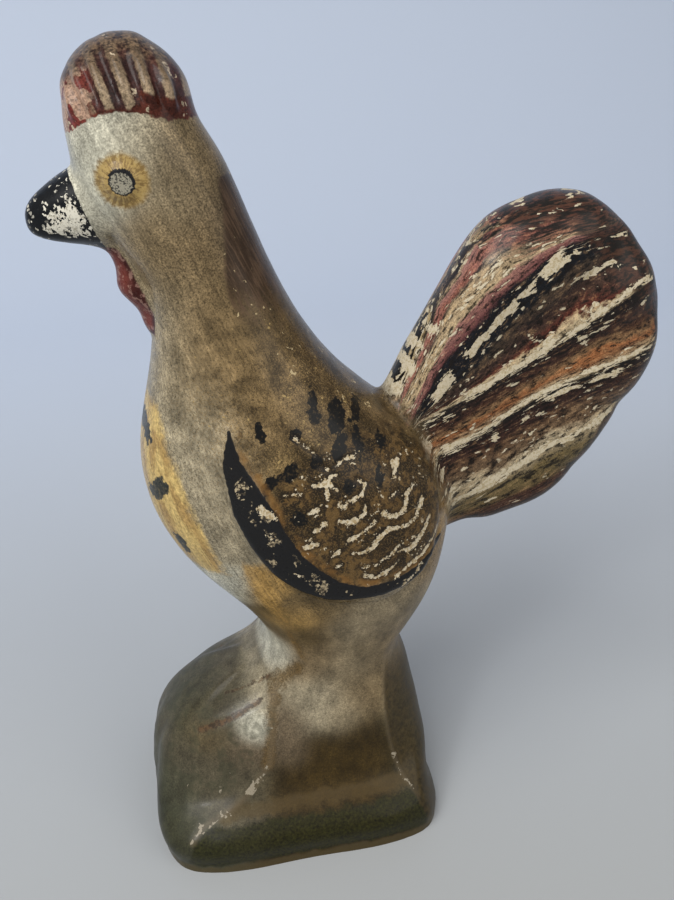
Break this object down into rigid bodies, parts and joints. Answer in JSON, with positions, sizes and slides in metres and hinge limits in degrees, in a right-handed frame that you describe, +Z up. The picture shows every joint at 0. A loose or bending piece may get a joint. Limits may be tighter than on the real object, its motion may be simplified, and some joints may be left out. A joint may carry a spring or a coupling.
{
  "type": "chalkware rooster figure",
  "caption": "Hollow-cast plaster rooster on a square flared foot, with a fluted tail fan, ribbed comb and worn hand paint; a free-standing mantel ornament.",
  "frame": {"origin": "on the floor under the foot, where the parting plane crosses the middle of the foot", "axes": "+Z up; the rooster faces -X; +Y is its right side, across the parting plane"},
  "size_m": [0.121, 0.0576, 0.1652],
  "materials": {
    "painted_plaster": "cast plaster in worn hand-painted colours under a satin varnish",
    "seam_slip": "plaster slip rubbed flush and painted over with the halves",
    "bare_plaster": "bare cast plaster, matt and slightly soiled"
  },
  "bodies": {
    "root": {"left_shell": "painted_plaster", "right_shell": "painted_plaster", "seam_slip": "seam_slip", "base_plug": "bare_plaster"}
  },
  "joints": []
}
